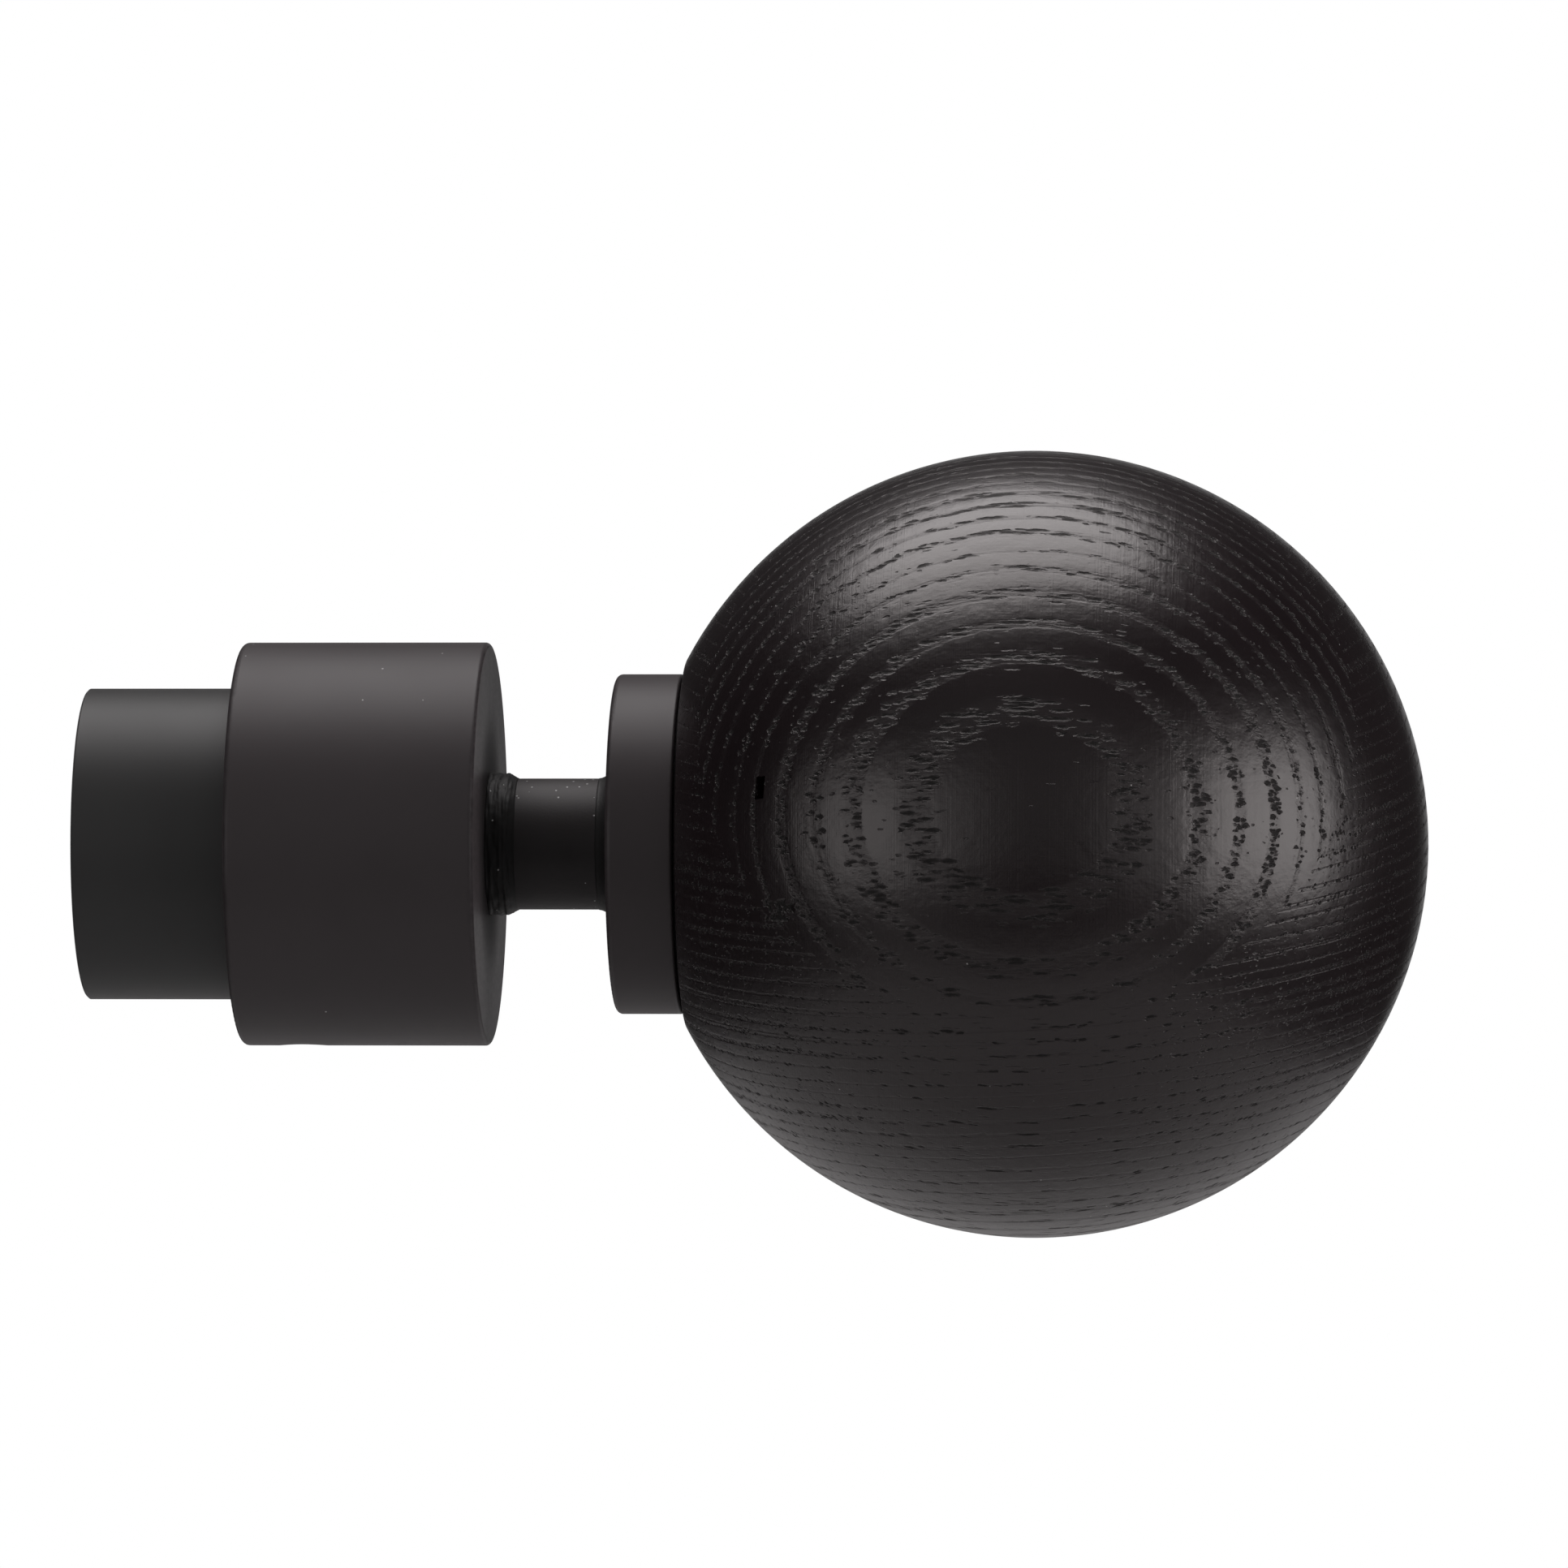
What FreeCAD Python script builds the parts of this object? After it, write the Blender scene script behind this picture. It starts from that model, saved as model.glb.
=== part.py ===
"""The end of a 25.4 mm curtain rod with its ball finial, as separate pieces.

A steel cup (the collar) slips over the rod tube and is locked by a set screw underneath. A neck tube and a
seat disc are welded to the collar. A wooden ball, turned from two boards glued together, is pulled against the
disc by one long machine screw, whose head sits inside the collar and whose end turns in an insert in the ball.

Frame, in millimetres: the origin is on the rod's axis at the rod's cut end. +X runs along the rod towards
the ball, +Z is up, and -Y is the side that faces the room. Every piece is written to parts/NAME.step.
"""

import FreeCAD, Part
import math
import os

V = FreeCAD.Vector

# Rod tube
ROD_OUTER_R = 25.4 / 2
ROD_WALL = 1.2
ROD_INNER_R = ROD_OUTER_R - ROD_WALL
ROD_SHOWN = 12.7            # length of tube outside the collar
ROD_SEATED = 10.0           # length of tube inside the collar
ROD_LENGTH = ROD_SHOWN + ROD_SEATED
ROD_EDGE = 0.15             # small bevel on the sawn edges

# Collar, a turned cup with a seat for the tube and a smaller chamber for the screw's head
COLLAR_OUTER_R = 32.9 / 2
COLLAR_LENGTH = 20.2
COLLAR_START = ROD_SHOWN
COLLAR_END = COLLAR_START + COLLAR_LENGTH
FLOOR_THICKNESS = 3.4
SEAT_CLEARANCE = 0.05       # radial play between tube and seat
SEAT_R = ROD_OUTER_R + SEAT_CLEARANCE
SHOULDER_X = ROD_LENGTH     # the tube stops against this step
CHAMBER_R = 9.5
FLOOR_X = COLLAR_END - FLOOR_THICKNESS
MOUTH_ROUND = 0.55
FACE_ROUND = 0.35
MOUTH_BEVEL = 0.25

# Neck tube and the seat disc behind the ball
NECK_OUTER_R = 10.7 / 2
NECK_LENGTH = 10.4
NECK_END = COLLAR_END + NECK_LENGTH
SCREW_HOLE_R = 6.6 / 2      # clearance hole through floor, neck and disc
DISC_R = 27.7 / 2
DISC_THICKNESS = 5.45
DISC_END = NECK_END + DISC_THICKNESS
DISC_FRONT_ROUND = 0.5
DISC_BACK_ROUND = 0.25

# Weld beads that join the neck to the collar and to the disc
COLLAR_WELD_RISE = 0.45     # how far the bead stands out from the neck
COLLAR_WELD_FLAT = 1.55
COLLAR_WELD_LENGTH = 2.4
DISC_WELD_RISE = 1.05
DISC_WELD_LENGTH = 1.5

# Fibre washer that keeps the disc off the wood
FIBRE_R = 12.9
FIBRE_THICKNESS = 0.3

# Wooden ball
BALL_R = 32.0
BALL_FLAT_X = DISC_END + FIBRE_THICKNESS
BALL_FLAT_R = 15.0          # radius of the flat that meets the disc
BALL_CENTRE_X = BALL_FLAT_X + math.sqrt(BALL_R ** 2 - BALL_FLAT_R ** 2)
BALL_FLAT_ROUND = 0.7
GLUE_DISTANCE = 18.3        # from the ball's centre to the glued joint between its two boards
GLUE_TILT = 30.0            # degrees that the joint's outward side leans up from the room side

# Threaded insert in the ball
INSERT_R = 4.5
INSERT_LENGTH = 13.0
INSERT_START = BALL_FLAT_X
INSERT_GROOVE_DEPTH = 0.55
INSERT_GROOVE_HALF = 0.65   # half the width of a groove at the surface
INSERT_PITCH = 2.0
INSERT_FIRST_GROOVE = 2.5   # from the insert's mouth to the middle of its first groove
INSERT_GROOVES = 5
BALL_HOLE_LENGTH = 16.0

# M6 x 35 machine screw, its washers, and the cross in its head
SCREW_R = 3.0
SCREW_LENGTH = 35.0
SCREW_END_BEVEL = 0.75
THREAD_CLEARANCE = 0.05
HEAD_R = 5.8
HEAD_HEIGHT = 3.5
HEAD_EDGE = 1.9             # height of the head's straight edge, under its dome
CROSS_LENGTH = 5.6
CROSS_WIDTH = 1.15
CROSS_DEPTH = 2.0
FLAT_WASHER_R = 6.0
FLAT_WASHER_THICKNESS = 1.2
SPRING_WASHER_R = 5.4
SPRING_WASHER_THICKNESS = 1.5
SPRING_WASHER_GAP = 1.1
SPRING_WASHER_SLANT = 25    # degrees that the gap leans from the axis
WASHER_HOLE_R = 3.2
WASHER_START = FLOOR_X - FLAT_WASHER_THICKNESS
SPRING_START = WASHER_START - SPRING_WASHER_THICKNESS
HEAD_START = SPRING_START - HEAD_HEIGHT
SCREW_END = SPRING_START + SCREW_LENGTH

# M4 set screw under the collar, with a nylon tip that bears on the tube
SET_X = COLLAR_START + ROD_SEATED / 2
SET_R = 2.0
SET_HOLE_R = SET_R + THREAD_CLEARANCE
SET_OUTER_END = COLLAR_OUTER_R - 0.25
SET_LENGTH = 2.7
SET_INNER_END = SET_OUTER_END - SET_LENGTH
SET_CHAMFER = 0.3
HEX_ACROSS_FLATS = 2.0
HEX_DEPTH = 1.5
TIP_R = 1.5
TIP_BEARING = 0.03          # gap left between the nylon and the tube
TIP_INNER_END = ROD_OUTER_R + TIP_BEARING
TIP_GAP = 0.03
TIP_PEG_R = 0.8
TIP_PEG_LENGTH = 0.7
TIP_PEG_HOLE_R = TIP_PEG_R + TIP_GAP

DOWN = V(0, 0, -1)
ALONG = V(1, 0, 0)


def turned(outline):
    """A solid of revolution about the rod's axis. The outline is a closed list of (x, radius) corners."""
    points = [V(x, 0, r) for x, r in outline]
    face = Part.Face(Part.makePolygon(points + points[:1]))
    return face.revolve(V(0, 0, 0), ALONG, 360)


def rod_along(x_start, x_end, radius):
    """A plain cylinder on the rod's axis."""
    return Part.makeCylinder(radius, x_end - x_start, V(x_start, 0, 0), ALONG)


def ring(x_start, x_end, inner_r, outer_r):
    """A plain washer shape on the rod's axis."""
    return turned([(x_start, inner_r), (x_end, inner_r), (x_end, outer_r), (x_start, outer_r)])


def circle_edges(shape, x, radius):
    """The round edges of a turned shape at one place along the axis."""
    found = []
    for edge in shape.Edges:
        if edge.Degenerated or not isinstance(edge.Curve, Part.Circle):
            continue
        if abs(edge.Curve.Radius - radius) < 1e-4 and abs(edge.Curve.Center.x - x) < 1e-4:
            found.append(edge)
    return found


def rod_tube():
    tube = ring(0, ROD_LENGTH, ROD_INNER_R, ROD_OUTER_R)
    rims = circle_edges(tube, 0, ROD_OUTER_R) + circle_edges(tube, ROD_LENGTH, ROD_OUTER_R)
    return tube.makeChamfer(ROD_EDGE, rims)


def set_screw_hole():
    """The threaded hole through the underside of the collar."""
    return Part.makeCylinder(SET_HOLE_R, COLLAR_OUTER_R, V(SET_X, 0, 0), DOWN)


def collar():
    cup = turned([
        (COLLAR_START, SEAT_R),
        (SHOULDER_X, SEAT_R),
        (SHOULDER_X, CHAMBER_R),
        (FLOOR_X, CHAMBER_R),
        (FLOOR_X, SCREW_HOLE_R),
        (COLLAR_END, SCREW_HOLE_R),
        (COLLAR_END, COLLAR_OUTER_R),
        (COLLAR_START, COLLAR_OUTER_R),
    ])
    cup = cup.makeFillet(MOUTH_ROUND, circle_edges(cup, COLLAR_START, COLLAR_OUTER_R))
    cup = cup.makeFillet(FACE_ROUND, circle_edges(cup, COLLAR_END, COLLAR_OUTER_R))
    cup = cup.makeChamfer(MOUTH_BEVEL, circle_edges(cup, COLLAR_START, SEAT_R))
    return cup.cut(set_screw_hole())


def neck():
    return ring(COLLAR_END, NECK_END, SCREW_HOLE_R, NECK_OUTER_R)


def collar_weld():
    flat_end = COLLAR_END + COLLAR_WELD_FLAT
    return turned([
        (COLLAR_END, NECK_OUTER_R),
        (COLLAR_END, NECK_OUTER_R + COLLAR_WELD_RISE),
        (flat_end, NECK_OUTER_R + COLLAR_WELD_RISE),
        (COLLAR_END + COLLAR_WELD_LENGTH, NECK_OUTER_R),
    ])


def disc_weld():
    return turned([
        (NECK_END, NECK_OUTER_R),
        (NECK_END, NECK_OUTER_R + DISC_WELD_RISE),
        (NECK_END - DISC_WELD_LENGTH, NECK_OUTER_R),
    ])


def seat_disc():
    disc = ring(NECK_END, DISC_END, SCREW_HOLE_R, DISC_R)
    disc = disc.makeFillet(DISC_FRONT_ROUND, circle_edges(disc, NECK_END, DISC_R))
    return disc.makeFillet(DISC_BACK_ROUND, circle_edges(disc, DISC_END, DISC_R))


def fibre_washer():
    return ring(DISC_END, BALL_FLAT_X, SCREW_HOLE_R, FIBRE_R)


def ball():
    """A turned ball with a flat for the disc, a rounded rim around it, and a blind hole for the insert."""
    round_r = math.sqrt((BALL_R - BALL_FLAT_ROUND) ** 2 - (BALL_CENTRE_X - BALL_FLAT_X - BALL_FLAT_ROUND) ** 2)
    centre = V(BALL_CENTRE_X, 0, 0)
    round_centre = V(BALL_FLAT_X + BALL_FLAT_ROUND, 0, round_r)
    outward = (round_centre - centre).normalize()
    halfway = (V(-1, 0, 0) + outward).normalize()
    top = V(BALL_CENTRE_X, 0, BALL_R)
    pole = V(BALL_CENTRE_X + BALL_R, 0, 0)
    hole_end = BALL_FLAT_X + BALL_HOLE_LENGTH
    flat_edge = V(BALL_FLAT_X, 0, round_r)
    sphere_start = centre + outward * BALL_R
    hole_mouth = V(BALL_FLAT_X, 0, INSERT_R)
    outline = Part.Wire([
        Part.LineSegment(hole_mouth, flat_edge).toShape(),
        Part.Arc(flat_edge, round_centre + halfway * BALL_FLAT_ROUND, sphere_start).toShape(),
        Part.Arc(sphere_start, top, pole).toShape(),
        Part.LineSegment(pole, V(hole_end, 0, 0)).toShape(),
        Part.LineSegment(V(hole_end, 0, 0), V(hole_end, 0, INSERT_R)).toShape(),
        Part.LineSegment(V(hole_end, 0, INSERT_R), hole_mouth).toShape(),
    ])
    return Part.Face(outline).revolve(V(0, 0, 0), ALONG, 360)


def glue_side():
    """A block that holds everything on the front board's side of the glued joint."""
    side = 3 * BALL_R
    block = Part.makeBox(side, side, side, V(BALL_CENTRE_X - side / 2, -GLUE_DISTANCE - side, -side / 2))
    block.rotate(V(0, 0, 0), ALONG, -GLUE_TILT)
    return block


def ball_front_board():
    return ball().common(glue_side())


def ball_rear_board():
    return ball().cut(glue_side())


def ball_insert():
    """A brass sleeve, smooth inside for the screw's thread and grooved outside to grip the wood."""
    sleeve = ring(INSERT_START, INSERT_START + INSERT_LENGTH, SCREW_R + THREAD_CLEARANCE, INSERT_R)
    for number in range(INSERT_GROOVES):
        middle = INSERT_START + INSERT_FIRST_GROOVE + INSERT_PITCH * number
        groove = turned([
            (middle - INSERT_GROOVE_HALF, INSERT_R),
            (middle, INSERT_R - INSERT_GROOVE_DEPTH),
            (middle + INSERT_GROOVE_HALF, INSERT_R),
        ])
        sleeve = sleeve.cut(groove)
    return sleeve


def cross_recess():
    """The two crossed slots in the screw's head."""
    bar = Part.makeBox(CROSS_DEPTH, CROSS_LENGTH, CROSS_WIDTH)
    bar.translate(V(HEAD_START, -CROSS_LENGTH / 2, -CROSS_WIDTH / 2))
    other = bar.copy()
    other.rotate(V(0, 0, 0), ALONG, 90)
    return bar.fuse(other)


def ball_screw():
    dome_height = HEAD_HEIGHT - HEAD_EDGE
    dome_r = (HEAD_R ** 2 + dome_height ** 2) / (2 * dome_height)
    dome = Part.makeSphere(dome_r, V(HEAD_START + dome_r, 0, 0), ALONG)
    head = rod_along(HEAD_START, SPRING_START, HEAD_R).common(dome)
    shank = rod_along(SPRING_START, SCREW_END, SCREW_R)
    shank = shank.makeChamfer(SCREW_END_BEVEL, circle_edges(shank, SCREW_END, SCREW_R))
    return head.fuse(shank).removeSplitter().cut(cross_recess())


def spring_washer():
    """A split ring, pressed flat, with its slanting gap at the top."""
    washer = ring(SPRING_START, WASHER_START, WASHER_HOLE_R, SPRING_WASHER_R)
    cut_length = 3 * SPRING_WASHER_THICKNESS
    gap = Part.makeBox(cut_length, SPRING_WASHER_GAP, 2 * SPRING_WASHER_R)
    middle_x = (SPRING_START + WASHER_START) / 2
    gap.translate(V(middle_x - cut_length / 2, -SPRING_WASHER_GAP / 2, 0))
    gap.rotate(V(middle_x, 0, 0), V(0, 0, 1), SPRING_WASHER_SLANT)
    return washer.cut(gap)


def flat_washer():
    return ring(WASHER_START, FLOOR_X, WASHER_HOLE_R, FLAT_WASHER_R)


def hex_socket():
    corner_r = HEX_ACROSS_FLATS / math.sqrt(3)
    corners = [
        V(SET_X + corner_r * math.cos(math.radians(a)), corner_r * math.sin(math.radians(a)), -SET_OUTER_END)
        for a in range(0, 360, 60)
    ]
    return Part.Face(Part.makePolygon(corners + corners[:1])).extrude(V(0, 0, HEX_DEPTH))


def set_screw():
    body = Part.makeCylinder(SET_R, SET_LENGTH, V(SET_X, 0, -SET_INNER_END), DOWN)
    ends = [e for e in body.Edges if isinstance(e.Curve, Part.Circle)]
    body = body.makeChamfer(SET_CHAMFER, ends)
    peg_hole = Part.makeCylinder(TIP_PEG_HOLE_R, TIP_PEG_LENGTH + TIP_GAP, V(SET_X, 0, -SET_INNER_END), DOWN)
    return body.cut(hex_socket()).cut(peg_hole)


def set_screw_tip():
    """A nylon button that bears on the tube, on a peg that sits in the end of the set screw."""
    pad_end = SET_INNER_END - TIP_GAP
    pad_start = ROD_INNER_R
    pad = Part.makeCylinder(TIP_R, pad_end - pad_start, V(SET_X, 0, -pad_start), DOWN)
    peg = Part.makeCylinder(TIP_PEG_R, TIP_PEG_LENGTH, V(SET_X, 0, -pad_end), DOWN)
    saddle = rod_along(SET_X - 2 * TIP_R, SET_X + 2 * TIP_R, TIP_INNER_END)
    return pad.fuse(peg).removeSplitter().cut(saddle)


PIECES = {
    "rod_tube": rod_tube,
    "collar": collar,
    "neck": neck,
    "collar_weld": collar_weld,
    "disc_weld": disc_weld,
    "seat_disc": seat_disc,
    "fibre_washer": fibre_washer,
    "ball_front_board": ball_front_board,
    "ball_rear_board": ball_rear_board,
    "ball_insert": ball_insert,
    "ball_screw": ball_screw,
    "spring_washer": spring_washer,
    "flat_washer": flat_washer,
    "set_screw": set_screw,
    "set_screw_tip": set_screw_tip,
}

os.makedirs("parts", exist_ok=True)
for name, make in PIECES.items():
    piece = make()
    piece.exportStep(f"parts/{name}.step")
    box = piece.BoundBox
    print(
        f"{name}: valid {piece.isValid()}, solids {len(piece.Solids)}, volume {piece.Volume:.1f} mm3, "
        f"x {box.XMin:.2f} to {box.XMax:.2f}, z {box.ZMin:.2f} to {box.ZMax:.2f}"
    )
print(f"ball centre x {BALL_CENTRE_X:.3f}, set screw x {SET_X:.3f}, screw end x {SCREW_END:.2f}")
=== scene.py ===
# %% [markdown]
# # The end of a curtain rod with a stained ash ball
#
# A painted steel tube ends in a collar. A short neck joins the collar to a round disc, and a ball of
# ash wood, turned on a lathe and stained black, is screwed against the disc.
# The measured model is loaded first and keeps its sizes. Every cell after it gives one piece its shape
# or its finish, so that the object looks like the real one from close by.

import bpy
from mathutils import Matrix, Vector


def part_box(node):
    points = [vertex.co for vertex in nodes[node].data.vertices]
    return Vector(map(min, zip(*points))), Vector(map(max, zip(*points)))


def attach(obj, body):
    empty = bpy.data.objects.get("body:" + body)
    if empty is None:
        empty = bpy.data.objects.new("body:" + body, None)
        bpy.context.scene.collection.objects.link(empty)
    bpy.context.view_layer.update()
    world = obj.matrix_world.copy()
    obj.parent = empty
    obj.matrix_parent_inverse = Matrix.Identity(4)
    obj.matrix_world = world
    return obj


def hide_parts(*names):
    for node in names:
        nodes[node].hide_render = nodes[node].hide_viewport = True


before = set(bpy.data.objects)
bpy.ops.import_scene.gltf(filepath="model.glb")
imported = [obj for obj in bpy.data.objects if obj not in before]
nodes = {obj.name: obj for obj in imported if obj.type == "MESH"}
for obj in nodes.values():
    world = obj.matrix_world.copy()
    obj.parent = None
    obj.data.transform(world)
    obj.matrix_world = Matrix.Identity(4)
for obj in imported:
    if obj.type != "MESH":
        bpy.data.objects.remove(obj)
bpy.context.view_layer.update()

# %% Modules and units
import math

import bmesh
import bpy
from mathutils import Matrix, Vector

MM = 0.001


def box_mm(name):
    """Gives a piece's lowest and highest corner in millimetres."""
    low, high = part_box(name)
    return Vector(low) / MM, Vector(high) / MM


# %% [markdown]
# ## Small tools for node trees
#
# Every finish here is a tree of nodes, and so are the worn rings, the weld beads and the threads.
# Building a tree in code means adding a node, filling its inputs and joining it to the others, so a few
# short helpers do just that. The same helpers serve shaders and geometry, because both kinds of tree
# share the maths and the noise.

# %% Helpers for numbers
def node(tree, kind, inputs=None, **settings):
    """Adds a node, sets its settings, and fills or joins its inputs."""
    made = tree.nodes.new(kind)
    for name, value in settings.items():
        setattr(made, name, value)
    for key, value in (inputs or {}).items():
        if isinstance(value, bpy.types.NodeSocket):
            tree.links.new(value, made.inputs[key])
        else:
            made.inputs[key].default_value = value
    return made


def calc(tree, operation, *values):
    """Adds a maths node and gives its result."""
    return node(tree, "ShaderNodeMath", dict(enumerate(values)), operation=operation).outputs[0]


def times(tree, first, *others):
    for other in others:
        first = calc(tree, "MULTIPLY", first, other)
    return first


def plus(tree, first, *others):
    for other in others:
        first = calc(tree, "ADD", first, other)
    return first


def minus(tree, first, second):
    return calc(tree, "SUBTRACT", first, second)


def largest(tree, first, *others):
    for other in others:
        first = calc(tree, "MAXIMUM", first, other)
    return first


def centred(tree, value):
    """Moves a value that goes from 0 to 1 so that its middle is 0."""
    return minus(tree, value, 0.5)


def hypotenuse(tree, first, second):
    return calc(tree, "SQRT", plus(tree, times(tree, first, first), times(tree, second, second)))


def ramp(tree, value, low, high, start=0.0, end=1.0):
    """Eases from start to end while the value goes from low to high."""
    inputs = {"Value": value, "From Min": low, "From Max": high, "To Min": start, "To Max": end}
    made = node(tree, "ShaderNodeMapRange", inputs, interpolation_type="SMOOTHSTEP")
    return made.outputs["Result"]


# %% Helpers for places and noise
def vector_calc(tree, operation, *values):
    """Adds a vector maths node and gives its vector, or its number for a dot product or a length."""
    made = node(tree, "ShaderNodeVectorMath", dict(enumerate(values)), operation=operation)
    return made.outputs["Value" if operation in ("DOT_PRODUCT", "LENGTH") else "Vector"]


def stretch(tree, vector, factors):
    return vector_calc(tree, "MULTIPLY", vector, factors)


def scaled(tree, vector, factor):
    made = node(tree, "ShaderNodeVectorMath", {0: vector, "Scale": factor}, operation="SCALE")
    return made.outputs["Vector"]


def parts_of(tree, vector):
    """Gives a vector's x, y and z."""
    return node(tree, "ShaderNodeSeparateXYZ", {0: vector}).outputs


def in_mm(tree, position):
    return stretch(tree, position, (1 / MM,) * 3)


def on_piece(tree):
    """Gives where a point lies on its piece, in millimetres."""
    return in_mm(tree, node(tree, "ShaderNodeTexCoord").outputs["Object"])


def noise(tree, vector, scale=1.0, detail=2.0, rough=0.5):
    """Adds a cloudy noise, from 0 to 1 with its middle near 0.5."""
    inputs = {"Vector": vector, "Scale": scale, "Detail": detail, "Roughness": rough}
    return node(tree, "ShaderNodeTexNoise", inputs).outputs[0]


def noise_along(tree, distance, detail=2.0):
    """Adds a noise that changes along one distance only."""
    inputs = {"W": distance, "Detail": detail}
    return node(tree, "ShaderNodeTexNoise", inputs, noise_dimensions="1D").outputs[0]


# %% Helpers for groups
def new_group(kind, name, inputs, outputs):
    """Starts a node group with named inputs and outputs, and gives the group and its two end nodes."""
    tree = bpy.data.node_groups.new(name, kind)
    for label, (socket, value) in inputs.items():
        made = tree.interface.new_socket(label, in_out="INPUT", socket_type="NodeSocket" + socket)
        if value is not None:
            made.default_value = value
    for label, socket in outputs.items():
        tree.interface.new_socket(label, in_out="OUTPUT", socket_type="NodeSocket" + socket)
    return tree, tree.nodes.new("NodeGroupInput"), tree.nodes.new("NodeGroupOutput")


def shader_group(name, inputs, outputs):
    """Starts a shader group that puts out numbers only."""
    return new_group("ShaderNodeTree", name, inputs, dict.fromkeys(outputs, "Float"))


def use_group(tree, group, **values):
    """Places a node group in a tree; an underscore in a name stands for a space."""
    inputs = {key.replace("_", " "): value for key, value in values.items()}
    return node(tree, tree.bl_idname.replace("Tree", "Group"), inputs, node_tree=group)


def feed(tree, end, **values):
    """Joins values to the inputs of a shader or of a group's last node."""
    for key, value in values.items():
        tree.links.new(value, end.inputs[key.replace("_", " ")])


# %% [markdown]
# ## Where things are
#
# A part that was turned on a lathe is easy to describe: how far along the axis, and how far out from
# it. The ball's centre and the plane where its two boards are glued place the wood's grain. All of it
# comes from the measured model's boxes, apart from the ball's radius and the place of its glue joint.

# %% Places in the measured model
BALL_RADIUS = 32.0
ball_low, ball_high = box_mm("ball_rear_board")
BALL_CENTRE = Vector((ball_high.x - BALL_RADIUS, 0, 0))
SEAT_FACE_X = ball_low.x
GLUE_TILT = math.radians(30)
GLUE_DIRECTION = Vector((0, -math.cos(GLUE_TILT), math.sin(GLUE_TILT)))
GLUE_DISTANCE = 18.3
collar_low, collar_high = box_mm("collar")
disc_low, disc_high = box_mm("seat_disc")
neck_high = box_mm("neck")[1]
NECK_RADIUS = neck_high.y
print("ball centre, mm:", [round(v, 2) for v in BALL_CENTRE])


# %% [markdown]
# ## Growth rings, for the shape and for the finish
#
# Ash grows a band of wide open pores each spring and smooth dense wood each summer. Brushing and
# staining wear the spring band down a little, so the rings can be felt. One function lays out the
# rings: it measures how deep a point lies under the ball's skin along the direction in which the tree
# grew, bends that a little, and wraps it into rings. The shape and the finish both call it, so a worn
# band and its pores always meet.

# %% The rings of one board
BOARD_INPUTS = {
    "Direction": ("Vector", (0, -1, 0)), "Spacing": ("Float", 2.0), "Start": ("Float", 0.0),
    "Bend": ("Float", 1.0), "Band": ("Float", 0.3), "Curve": ("Float", 0.0),
}
FRONT_BOARD = {"Direction": (0.017, -0.995, 0.097), "Spacing": 1.80, "Start": 0.85, "Bend": 0.8,
               "Band": 0.50, "Curve": 0.0045}
REAR_BOARD = {"Direction": (0.060, 0.177, -0.982), "Spacing": 1.18, "Start": 0.35, "Bend": 0.9,
              "Band": 0.42, "Curve": 0.0}


def place_in_ball(tree, position):
    """Turns a position in metres into millimetres from the ball's centre."""
    return vector_calc(tree, "SUBTRACT", in_mm(tree, position), tuple(BALL_CENTRE))


def ring_phase(tree, place, board):
    """Counts the rings passed on the way in from the ball's skin; the fraction is the place in a ring."""
    toward_skin = vector_calc(tree, "DOT_PRODUCT", place, board["Direction"])
    sideways = vector_calc(tree, "LENGTH", vector_calc(tree, "CROSS_PRODUCT", place, board["Direction"]))
    along = parts_of(tree, place)[0]
    across_squared = minus(tree, times(tree, sideways, sideways), times(tree, along, along))
    depth = plus(tree, minus(tree, BALL_RADIUS, toward_skin), times(tree, across_squared, board["Curve"]))
    slow = noise(tree, stretch(tree, place, (0.025, 0.06, 0.06)))
    bent = times(tree, centred(tree, slow), board["Bend"])
    good_and_poor_years = centred(tree, noise_along(tree, times(tree, depth, 0.30)))
    warped = plus(tree, depth, plus(tree, bent, good_and_poor_years))
    return calc(tree, "DIVIDE", minus(tree, warped, board["Start"]), board["Spacing"])


def spring_band(tree, phase, band):
    """Is 1 in a ring's open spring wood and 0 in its dense summer wood."""
    part = calc(tree, "FRACT", phase)
    opens = ramp(tree, part, 0.0, 0.16)
    closes = ramp(tree, part, times(tree, band, 0.45), band, 1.0, 0.0)
    return times(tree, opens, closes)


def spring_at(tree, place, board, ragged=0.0):
    """Is 1 where a place lies in a board's spring wood."""
    return spring_band(tree, plus(tree, ring_phase(tree, place, board), ragged), board["Band"])


print("rings of the front board every", FRONT_BOARD["Spacing"], "mm, of the rear board every",
      REAR_BOARD["Spacing"], "mm")


# %% [markdown]
# ## Shader group: open pores and grain of ash
#
# The pores are the cut ends and sides of vessels, tubes a quarter of a millimetre wide that run with
# the rod's axis. Long thin Voronoi cells stand for them: where the skin runs along the cells they show
# as dashes, and where it cuts across them as dots, as on the real ball. The group gives heights and
# masks only, and each board's material brings its own growth direction.

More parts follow.
